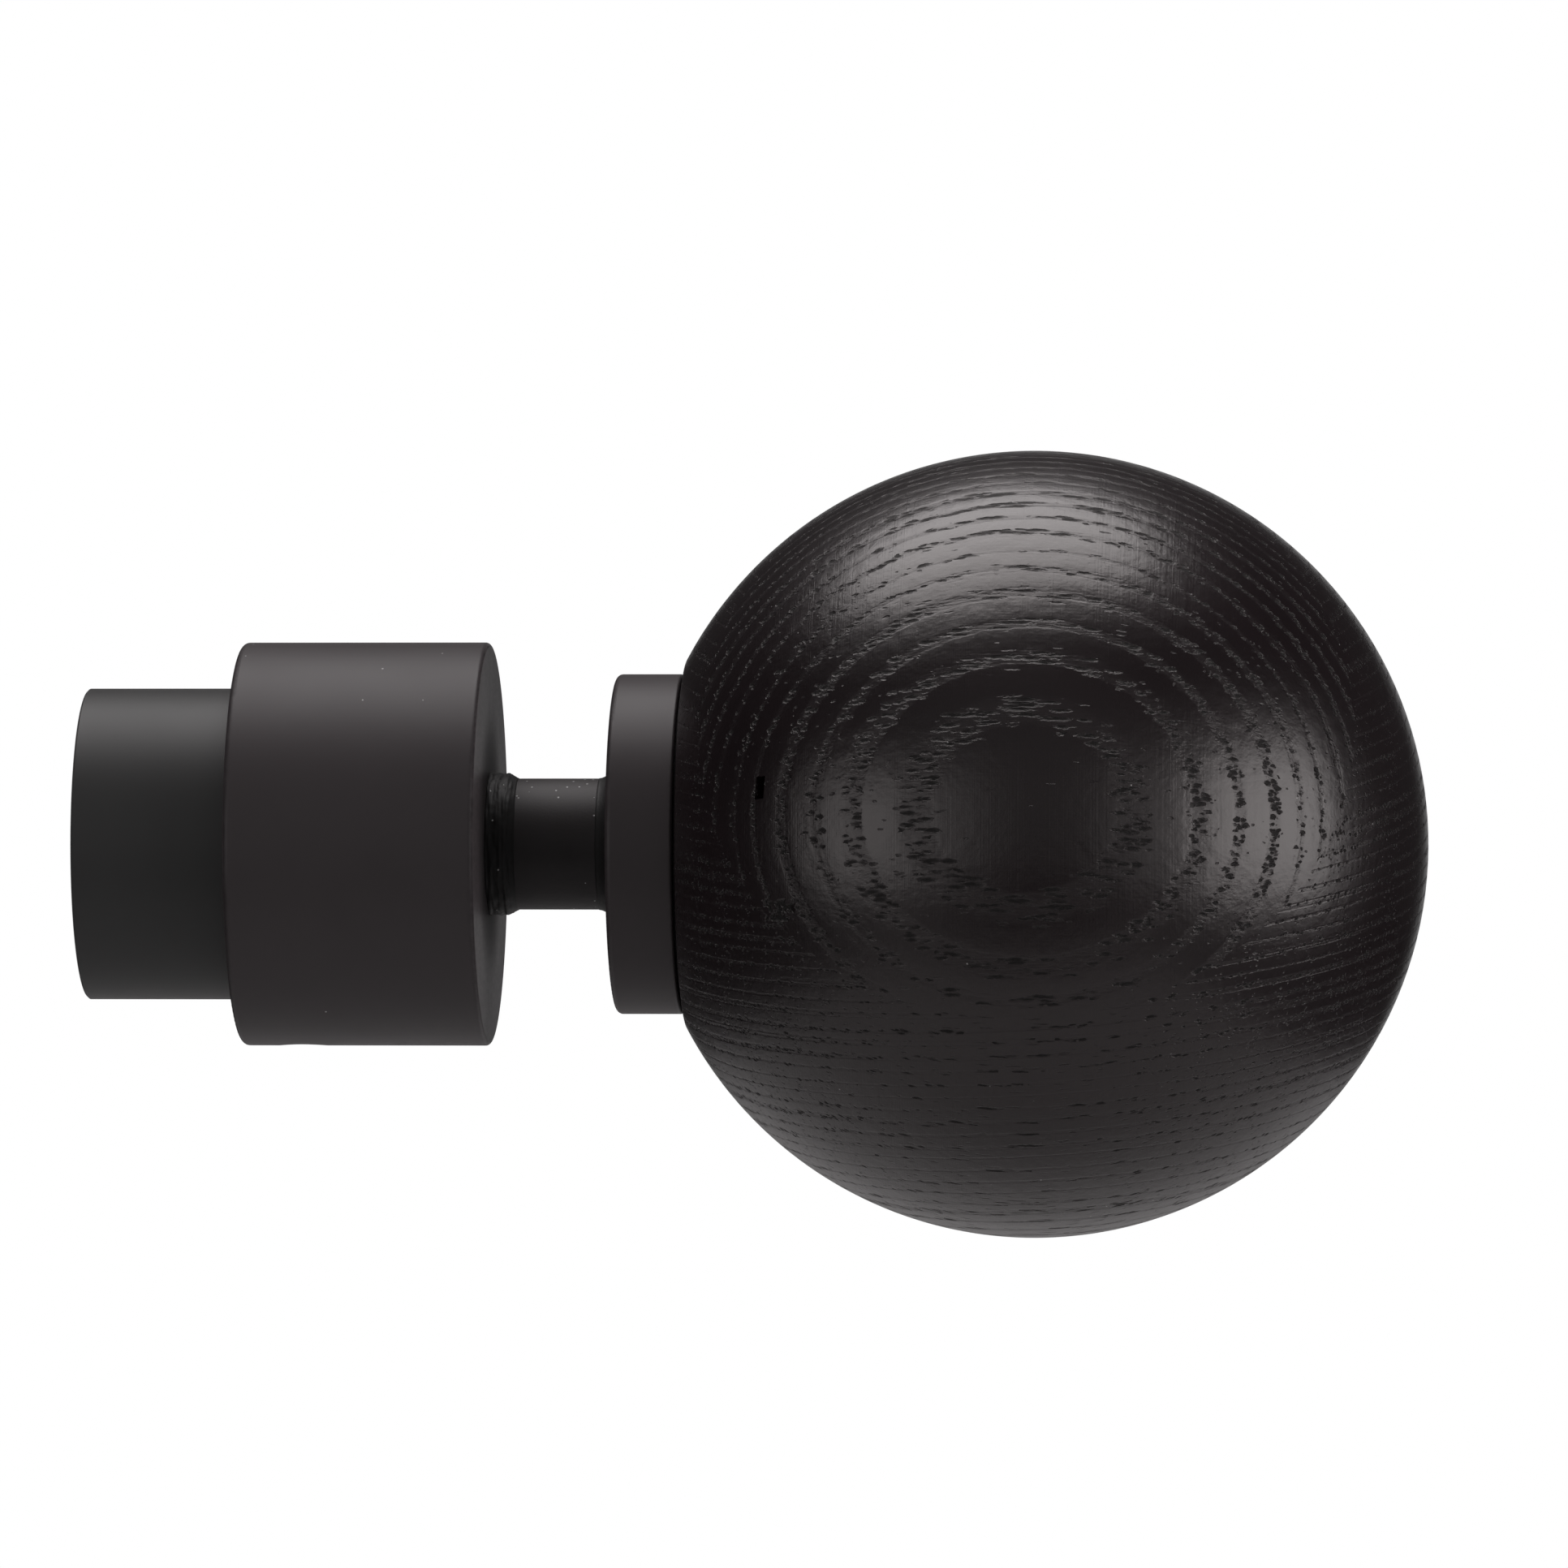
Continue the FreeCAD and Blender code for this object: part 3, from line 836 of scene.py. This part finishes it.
# %% Finial paint
def make_paint(name, dark, light, gloss, rims, dust_kept, warm=0.0, grain_height=0.0015, face=None):
    """A satin paint that drifts from dark to light, worn at its rims, with painted light and painted shade on
    one face.
    """
    made, tree, shader = new_finish(name, Specular_IOR_Level=0.21)
    coat = use_group(tree, powder_coat, Grain_height=grain_height).outputs
    turned = use_group(tree, lathe_lines, Line_height=0.0).outputs
    body = mix_colour(tree, coat["Gloss drift"], grey(dark, warm), grey(light, warm))
    rough = plus(tree, gloss, times(tree, centred(tree, coat["Gloss drift"]), 0.10))
    if face is not None:
        painted_light_on_face, painted_shade_near_weld = face_painted_light_and_shade(tree, turned, face)
        # Painted light: the collar's face is made paler towards its rim, where light falls on it.
        body = mix_colour(tree, painted_light_on_face, body, grey(light * 2.6, warm))
        # Painted shade: darker and rougher round the weld, where the neck, disc and ball shade the face.
        body = mix_colour(tree, times(tree, painted_shade_near_weld, 0.45), body, grey(dark * 0.30, warm))
        rough = plus(tree, rough, times(tree, painted_shade_near_weld, 0.22))
    worn = worn_rims(tree, turned, rims)
    body = mix_colour(tree, times(tree, worn, 0.7), body, grey(dark * 0.45, warm))
    specks = use_group(tree, dust, Speck_size=0.10, Spread=0.55, Kept=dust_kept).outputs["Specks"]
    body = mix_colour(tree, times(tree, specks, 0.8), body, grey(0.40))
    feed(tree, shader, Base_Color=body, Roughness=minus(tree, rough, times(tree, worn, 0.10)),
         Normal=bump(tree, coat["Height"]))
    return made


collar_rims = [(collar_low.x, collar_high.y), (collar_high.x, collar_high.y)]
disc_rims = [(disc_low.x, disc_high.y), (disc_high.x, disc_high.y)]
neck_rims = [(neck_high.x, neck_high.y)]
weld_rims = [(collar_high.x, collar_high.y)]
collar_paint = make_paint("collar_paint", 0.0265, 0.0320, 0.50, collar_rims, dust_kept=0.010, warm=0.16,
                          face=collar_high.x)
disc_paint = make_paint("disc_paint", 0.0250, 0.0310, 0.50, disc_rims, dust_kept=0.015, warm=0.18)
# The neck has the same coat as the collar; its darker colour is painted shade from the collar and disc on
# either side.
neck_shaded_paint = make_paint("neck_shaded_paint", 0.0155, 0.0200, 0.55, neck_rims, dust_kept=0.45, warm=0.16,
                        grain_height=0.008)
# The beads have the same coat as the collar; their much darker colour is painted shade for the corner they
# sit in.
weld_shaded_paint = make_paint("weld_shaded_paint", 0.005, 0.008, 0.58, weld_rims, dust_kept=0.10, warm=0.06,
                        grain_height=0.008)
print("finial paints:", collar_paint.name, disc_paint.name, neck_shaded_paint.name, weld_shaded_paint.name)


# %% Rod paint
def make_rod_paint():
    """Paint outside, and bare steel with turning lines on the sawn face and in the bore."""
    made, tree, shader = new_finish("rod_paint", Specular_IOR_Level=0.22)
    coat = use_group(tree, powder_coat, Grain_height=0.001, Peel_height=0.003).outputs
    turned = use_group(tree, lathe_lines, Line_pitch=0.08, Line_height=0.004).outputs
    rod_radius = box_mm("rod_tube")[1].y
    outside = times(tree, ramp(tree, turned["Out"], rod_radius - 0.35, rod_radius - 0.1),
                    ramp(tree, turned["Along"], 0.01, 0.10))
    bare = minus(tree, 1.0, outside)
    paint = mix_colour(tree, coat["Gloss drift"], grey(0.0250), grey(0.0295))
    steel = mix_colour(tree, turned["Lines"], grey(0.16, 0.03), grey(0.34, 0.02))
    rough = minus(tree, plus(tree, 0.45, times(tree, coat["Gloss drift"], 0.10)), times(tree, bare, 0.08))
    height = plus(tree, times(tree, turned["Height"], bare), times(tree, coat["Height"], outside))
    feed(tree, shader, Base_Color=mix_colour(tree, outside, steel, paint), Metallic=bare,
         Roughness=rough, Normal=bump(tree, height))
    return made


rod_paint = make_rod_paint()
print("rod paint:", rod_paint.name)


# %% [markdown]
# ## Small hardware finishes
#
# The screw and its washers are zinc plated, the insert is turned brass, the set screw is blackened,
# its tip is nylon and the thin washer under the ball is pressed black fibre. They hide inside the
# finial and show when it is taken apart, so each has its own surface.

# %% Metal, nylon and fibre
SET_SCREW_AXIS = {"Axis_point": (17.7, 0, 0), "Axis": (0, 0, -1)}


def make_metal(name, dark, light, rough, line_pitch, line_height, **axis):
    made, tree, shader = new_finish(name, Metallic=1.0)
    turned = use_group(tree, lathe_lines, Line_pitch=line_pitch, Line_height=line_height, **axis).outputs
    place = on_piece(tree)
    clouds = noise(tree, place, 0.6, 4.0, 0.6)
    uneven = plus(tree, times(tree, clouds, 0.18), times(tree, turned["Lines"], 0.10), rough)
    pitted = times(tree, noise(tree, place, 9.0, 2.0), 0.002)
    feed(tree, shader, Base_Color=mix_colour(tree, clouds, dark, light), Roughness=uneven,
         Normal=bump(tree, plus(tree, turned["Height"], pitted)))
    return made


def make_nylon():
    made, tree, shader = new_finish("white_nylon", IOR=1.53)
    turned = use_group(tree, lathe_lines, Line_pitch=0.2, Line_height=0.003, **SET_SCREW_AXIS).outputs
    body = mix_colour(tree, turned["Lines"], (0.70, 0.68, 0.62, 1), (0.80, 0.79, 0.75, 1))
    feed(tree, shader, Base_Color=body, Roughness=ramp(tree, turned["Lines"], 0.2, 0.8, 0.32, 0.48),
         Normal=bump(tree, turned["Height"]))
    return made


def make_fibre():
    made, tree, shader = new_finish("black_fibre", IOR=1.5)
    place = on_piece(tree)
    felted = noise(tree, place, 3.0, 5.0, 0.7)
    mottled = times(tree, felted, noise(tree, stretch(tree, place, (1.0, 0.8, 5.0)), 1.4, 3.0))
    feed(tree, shader, Base_Color=mix_colour(tree, mottled, grey(0.008), grey(0.030, 0.1)),
         Roughness=ramp(tree, felted, 0.3, 0.7, 0.75, 0.92), Normal=bump(tree, times(tree, mottled, 0.02)))
    return made


zinc = make_metal("zinc_plating", (0.50, 0.52, 0.55, 1), (0.68, 0.69, 0.70, 1), 0.20, 0.10, 0.001)
brass = make_metal("turned_brass", (0.46, 0.31, 0.10, 1), (0.64, 0.45, 0.17, 1), 0.18, 0.16, 0.003)
black_oxide = make_metal("black_oxide", (0.030, 0.030, 0.034, 1), (0.055, 0.053, 0.052, 1), 0.26, 0.12,
                         0.002, **SET_SCREW_AXIS)

# %% Dress the measured pieces
FINISHES = {
    "rod_tube": rod_paint, "collar": collar_paint, "neck": neck_shaded_paint, "seat_disc": disc_paint,
    "fibre_washer": make_fibre(), "ball_insert": brass, "spring_washer": zinc, "flat_washer": zinc,
    "set_screw_tip": make_nylon(),
}
for name, finish in FINISHES.items():
    for material_slot in nodes[name].material_slots:
        material_slot.material = finish
print("finished measured pieces:", len(FINISHES))


# %% [markdown]
# ## Weld beads
#
# The neck is welded to the collar and to the disc, and the paint lies over the beads. The beads were
# dressed on a lathe and are still not even, so a geometry tree swells and pinches a turned ring:
# fine ridges follow the circle, and a noise with a fixed seed breaks them up.

# %% Weld bead tree
def make_weld_bead():
    inputs = {"Ridge height": ("Float", 0.05), "Lump height": ("Float", 0.12),
              "Seed": ("Float", 1.0), "Neck radius": ("Float", 5.35)}
    tree, given, result = geometry_group("Weld bead", inputs)
    ask = given.outputs
    place = in_mm(tree, node(tree, "GeometryNodeInputPosition").outputs[0])
    shift = node(tree, "ShaderNodeCombineXYZ", {"X": times(tree, ask["Seed"], 17.0)}).outputs[0]
    seeded = vector_calc(tree, "ADD", place, shift)
    lumps = centred(tree, noise(tree, seeded, 0.75, 4.0, 0.6))
    ridges = centred(tree, noise(tree, stretch(tree, seeded, (4.5, 0.4, 0.4))))
    rise = plus(tree, times(tree, lumps, ask["Lump height"]), times(tree, ridges, ask["Ridge height"]))
    direction, out = outward(tree, parts_of(tree, place))
    free = ramp(tree, out, ask["Neck radius"], plus(tree, ask["Neck radius"], 0.3))
    return push_points(tree, given, result, direction, times(tree, rise, free, MM))


weld_bead = make_weld_bead()
print("weld bead tree:", len(weld_bead.nodes), "nodes")

# %% The bead on the collar
INSIDE_NECK = NECK_RADIUS - 0.15
BEAD_STEPS = 240
collar_bead_profile = [(32.90, INSIDE_NECK), (32.90, 5.80)]
collar_bead_profile += straight((32.90, 5.80), (34.45, 5.78), 16)
collar_bead_profile += straight((34.45, 5.78), (35.25, NECK_RADIUS + 0.02), 10)
collar_bead_profile += [(35.30, INSIDE_NECK)]
collar_bead = spin("collar_bead_blank", collar_bead_profile, BEAD_STEPS, closed_ring=True)
collar_bead = grown(collar_bead, weld_bead, "collar_bead", weld_shaded_paint, Ridge_height=0.30,
                    Lump_height=0.22, Seed=3.0, Neck_radius=NECK_RADIUS)
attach(collar_bead, "finial")
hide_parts("collar_weld")

# %% The bead on the disc
disc_bead_low, disc_bead_high = box_mm("disc_weld")
disc_bead_start = disc_bead_low.x + 0.05
disc_bead_profile = [(disc_bead_low.x, INSIDE_NECK), (disc_bead_start, NECK_RADIUS + 0.03)]
for step in range(1, 11):
    share = step / 10
    rise = (disc_bead_high.y - NECK_RADIUS) * share ** 1.7
    disc_bead_profile.append((disc_bead_start + 1.45 * share, NECK_RADIUS + 0.03 + rise * 0.97))
disc_bead_profile.append((disc_bead_high.x, INSIDE_NECK))
disc_bead = spin("disc_bead_blank", disc_bead_profile, BEAD_STEPS, closed_ring=True)
disc_bead = grown(disc_bead, weld_bead, "disc_bead", weld_shaded_paint, Ridge_height=0.06,
                  Lump_height=0.10, Seed=8.0, Neck_radius=NECK_RADIUS)
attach(disc_bead, "finial")
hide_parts("disc_weld")


# %% [markdown]
# ## Threads
#
# A rolled thread is a groove that climbs one pitch with each turn. On a closely ringed blank the depth
# of the groove is known at every point from its angle and its place along the screw, so a geometry
# tree presses the groove in and lets it run out at both ends.

# %% Thread tree
def make_thread():
    inputs = {"Pitch": ("Float", 1.0), "Depth": ("Float", 0.6), "Start": ("Float", 0.0),
              "End": ("Float", 10.0), "Core radius": ("Float", 2.0)}
    tree, given, result = geometry_group("Rolled thread", inputs)
    ask = given.outputs
    parts = parts_of(tree, in_mm(tree, node(tree, "GeometryNodeInputPosition").outputs[0]))
    turn = calc(tree, "DIVIDE", calc(tree, "ARCTAN2", parts[2], parts[1]), 2 * math.pi)
    climb = minus(tree, calc(tree, "DIVIDE", parts[0], ask["Pitch"]), turn)
    groove = ramp(tree, times(tree, calc(tree, "PINGPONG", climb, 0.5), 2.0), 0.10, 0.86)
    began = ramp(tree, parts[0], ask["Start"], plus(tree, ask["Start"], ask["Pitch"]))
    ended = ramp(tree, parts[0], minus(tree, ask["End"], 0.2), ask["End"], 1.0, 0.0)
    direction, out = outward(tree, parts)
    depth = times(tree, groove, ask["Depth"], times(tree, began, ended))
    room = largest(tree, minus(tree, out, ask["Core radius"]), 0.0)
    depth = times(tree, calc(tree, "MINIMUM", depth, room), -MM)
    return push_points(tree, given, result, direction, depth)


thread_tree = make_thread()
print("thread tree:", len(thread_tree.nodes), "nodes")


# %% [markdown]
# ## The ball's screw
#
# A cross-head screw passes through the collar's floor and the neck into the brass insert. Its head is
# pressed with a shallow dome and its recess by a tapered punch; here the blank is turned, threaded by
# the tree, and a plain cross is cut out.

# %% The screw's blank
screw_low, screw_high = box_mm("ball_screw")
HEAD_RADIUS = screw_high.y
HEAD_EDGE_X = screw_low.x + 1.6
HEAD_BACK_X = 26.8
SHANK_RADIUS = 3.0
SCREW_END_X = screw_high.x
dome_reach = HEAD_EDGE_X - screw_low.x
dome_radius = (HEAD_RADIUS ** 2 + dome_reach ** 2) / (2 * dome_reach)
screw_profile = []
for step in range(13):
    out = HEAD_RADIUS * 0.97 * step / 12
    screw_profile.append((screw_low.x + dome_radius - math.sqrt(dome_radius ** 2 - out ** 2), out))
screw_profile += [(HEAD_EDGE_X, HEAD_RADIUS), (HEAD_BACK_X - 0.15, HEAD_RADIUS),
                  (HEAD_BACK_X, HEAD_RADIUS - 0.15)]
screw_profile += straight(screw_profile[-1], (HEAD_BACK_X, SHANK_RADIUS + 0.12), 3)
screw_profile += [(HEAD_BACK_X + 0.12, SHANK_RADIUS)]
screw_profile += straight(screw_profile[-1], (SCREW_END_X - 0.75, SHANK_RADIUS), 330)
screw_profile += straight(screw_profile[-1], (SCREW_END_X, SHANK_RADIUS - 0.75), 6)
screw_profile += [(SCREW_END_X, 0.0)]
screw_blank = spin("screw_blank", screw_profile, 64)
print("screw, mm: length", round(SCREW_END_X - screw_low.x, 2), "head across", round(2 * HEAD_RADIUS, 2))

# %% Thread and cross
threaded_screw = grown(screw_blank, thread_tree, "threaded_screw", zinc, Pitch=1.0, Depth=0.6,
                       Start=HEAD_BACK_X + 1.2, End=SCREW_END_X + 0.2, Core_radius=2.35)
SLOT_HALF = 0.575
ARM_REACH = 2.8


def bar(name, half_y, half_z, depth):
    """A bar across the head, down to a depth under its top."""
    corners = [(-half_y, -half_z), (half_y, -half_z), (half_y, half_z), (-half_y, half_z)]
    return prism(name, corners, screw_low.x - 1, screw_low.x + depth)


cut_away(threaded_screw, [bar("bar_one", ARM_REACH, SLOT_HALF, 2.0),
                          bar("bar_two", SLOT_HALF, ARM_REACH, 2.003)])
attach(threaded_screw, "ball_screw")
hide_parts("ball_screw")

# %% [markdown]
# ## The set screw
#
# A blackened grub screw under the collar presses a nylon tip on the tube, so that the tube's paint
# isn't marked. It is turned and threaded along the rod's axis like the other screw, has its hexagon
# socket cut, and is then swung round to point at the tube.

# %% Set screw
set_low, set_high = box_mm("set_screw")
SET_LENGTH = set_high.z - set_low.z
SET_RADIUS = set_high.y
SET_X = (set_low.x + set_high.x) / 2
CHAMFER = 0.3
HEX_CORNER = 1.0 / math.cos(math.radians(30))
set_profile = [(0.0, 0.0)]
for corner, steps in (((0.0, SET_RADIUS - CHAMFER), 3), ((CHAMFER, SET_RADIUS), 3),
                      ((SET_LENGTH - CHAMFER, SET_RADIUS), 40),
                      ((SET_LENGTH, SET_RADIUS - CHAMFER), 3), ((SET_LENGTH, 0.0), 2)):
    set_profile += straight(set_profile[-1], corner, steps)
grub_screw = grown(spin("set_blank", set_profile, 96), thread_tree, "grub_screw", black_oxide, Pitch=0.7,
                   Depth=0.38, Start=-0.7, End=SET_LENGTH + 0.2, Core_radius=1.55)
hexagon = [(HEX_CORNER * math.cos(math.radians(60 * i)), HEX_CORNER * math.sin(math.radians(60 * i)))
           for i in range(6)]
cut_away(grub_screw, [prism("hexagon_socket", hexagon, -1.0, 1.5)])
swing = Matrix(((0, 1, 0), (0, 0, 1), (1, 0, 0))).to_4x4()
grub_screw.data.transform(Matrix.Translation((SET_X * MM, 0, set_low.z * MM)) @ swing)
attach(grub_screw, "set_screw")
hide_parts("set_screw")
print("grub screw stands from", round(set_low.z, 2), "to", round(set_high.z, 2), "mm")


# %% [markdown]
# ## Camera
#
# A long lens from nearly a metre away, at the object's height and a little to its right, shows it
# almost without perspective, so that circles seen from the side stay nearly straight.

# %% Camera
CAMERA_TURN = math.radians(3.64)
CAMERA_DISTANCE = 919.0
AIM = Vector((56.9, 0.0, 4.9))
right_of_view = Vector((math.cos(CAMERA_TURN), math.sin(CAMERA_TURN), 0))
back_of_view = Vector((math.sin(CAMERA_TURN), -math.cos(CAMERA_TURN), 0))
camera_data = bpy.data.cameras.new("camera")
camera_data.sensor_width = 36
camera_data.lens = 259
camera_data.clip_start = 0.05
camera_data.clip_end = 20
camera = bpy.data.objects.new("camera", camera_data)
camera.location = (AIM + back_of_view * CAMERA_DISTANCE) * MM
camera.rotation_euler = (math.pi / 2, 0, CAMERA_TURN)
bpy.context.scene.collection.objects.link(camera)
bpy.context.scene.camera = camera
print("camera at, mm:", [round(v / MM) for v in camera.location])


# %% [markdown]
# ## Light
#
# Small dark hardware is often lit like this: a very large soft light overhead, a bright one to the
# right, a dimmer one to the left with two faint ones between them, and a sheet of white paper below.
# Dark finishes show little but the reflections of those lights, so their size and place shape the
# whole look. The table is pale all over to the camera, and pale in the reflections only where the
# sheet lies. From below it is left out, so that the underside can be looked at.

# %% Soft lights
LIGHT_DISTANCE = 0.8


def softbox(name, offset, width, height, radiance):
    """A soft light that faces the ball, placed by its offset from the ball's centre, in metres."""
    light = bpy.data.lights.new(name, "AREA")
    light.shape = "RECTANGLE"
    light.size = width
    light.size_y = height
    light.color = (1.0, 0.968, 0.972)
    light.energy = radiance * math.pi * width * height
    lamp = bpy.data.objects.new(name, light)
    lamp.location = BALL_CENTRE * MM + Vector(offset)
    lamp.rotation_mode = "QUATERNION"
    lamp.rotation_quaternion = Vector(offset).to_track_quat("Z", "Y")
    lamp.visible_camera = False
    bpy.context.scene.collection.objects.link(lamp)
    return lamp


def toward(turn, rise=0.0):
    """An offset measured from the camera's side: turned to the right, then raised, in degrees."""
    flat = back_of_view * math.cos(math.radians(turn)) + right_of_view * math.sin(math.radians(turn))
    up = Vector((0, 0, math.sin(math.radians(rise))))
    return (flat * math.cos(math.radians(rise)) + up) * LIGHT_DISTANCE


overhead = softbox("overhead", (-0.14, 0.16, LIGHT_DISTANCE), 0.93, 0.78, 3.95)
overhead.rotation_quaternion = (1, 0, 0, 0)
overhead.data.shape = "ELLIPSE"
softbox("right", toward(70), 0.68, 0.64, 4.2)
softbox("left", toward(-53, 3), 0.44, 0.42, 1.9)
softbox("right_fill", toward(33), 0.40, 0.60, 0.55)
softbox("left_fill", toward(-28), 0.30, 0.60, 0.55)
print("soft lights:", len(bpy.data.lights))

# %% Table
TABLE_PALE = 0.84
TABLE_RADIUS = 1.2
TABLE_BELOW = 0.16


def make_table_finish():
    made, tree, shader = new_finish("pale_table", Roughness=0.9, Emission_Strength=1.0,
                                    Specular_IOR_Level=0.0)
    parts = parts_of(tree, node(tree, "ShaderNodeTexCoord").outputs["Object"])
    sheet = times(tree, ramp(tree, parts[0], -0.22, -0.12), ramp(tree, parts[0], 0.25, 0.31, 1, 0),
                  ramp(tree, parts[1], -0.48, -0.13))
    lit = mix_colour(tree, sheet, grey(0.03), grey(0.54))
    seen = node(tree, "ShaderNodeLightPath").outputs["Is Camera Ray"]
    under = node(tree, "ShaderNodeNewGeometry").outputs["Backfacing"]
    feed(tree, shader, Base_Color=mix_colour(tree, seen, lit, grey(0.0)),
         Emission_Color=mix_colour(tree, seen, grey(0.0), grey(TABLE_PALE)),
         Alpha=minus(tree, 1.0, under))
    return made


def make_table():
    shape = bmesh.new()
    bmesh.ops.create_circle(shape, cap_ends=True, segments=96, radius=TABLE_RADIUS)
    bmesh.ops.translate(shape, verts=shape.verts, vec=(BALL_CENTRE.x * MM, 0, -TABLE_BELOW))
    mesh = bpy.data.meshes.new("table")
    shape.to_mesh(mesh)
    shape.free()
    mesh.materials.append(make_table_finish())
    return new_piece("table", mesh)


table = make_table()
print("table across, m:", 2 * TABLE_RADIUS)

# %% [markdown]
# ## Surroundings
#
# The room is nearly dark, with a faint glow from the front that fills the shadows. A pale wall straight
# behind shows only where a surface turns away from the camera and mirrors it at a low angle, and it
# draws a fine bright line along such edges. To the camera itself the surroundings are plain white.

# %% Surroundings
world = bpy.data.worlds.new("studio")
world.use_nodes = True
bpy.context.scene.world = world
air = world.node_tree
background = air.nodes["Background"]
direct = node(air, "ShaderNodeLightPath").outputs["Is Camera Ray"]
behind = parts_of(air, node(air, "ShaderNodeTexCoord").outputs["Generated"])["Y"]
wall = plus(air, ramp(air, behind, -0.95, -0.4, 0.24, 0.015), ramp(air, behind, 0.2, 0.9, 0.0, 0.015),
            ramp(air, behind, 0.960, 0.992, 0.0, 0.95))
feed(air, background, Strength=largest(air, wall, direct))
background.inputs["Color"].default_value = (1, 1, 1, 1)
bpy.context.scene.view_settings.view_transform = "Standard"
print("surroundings:", world.name)
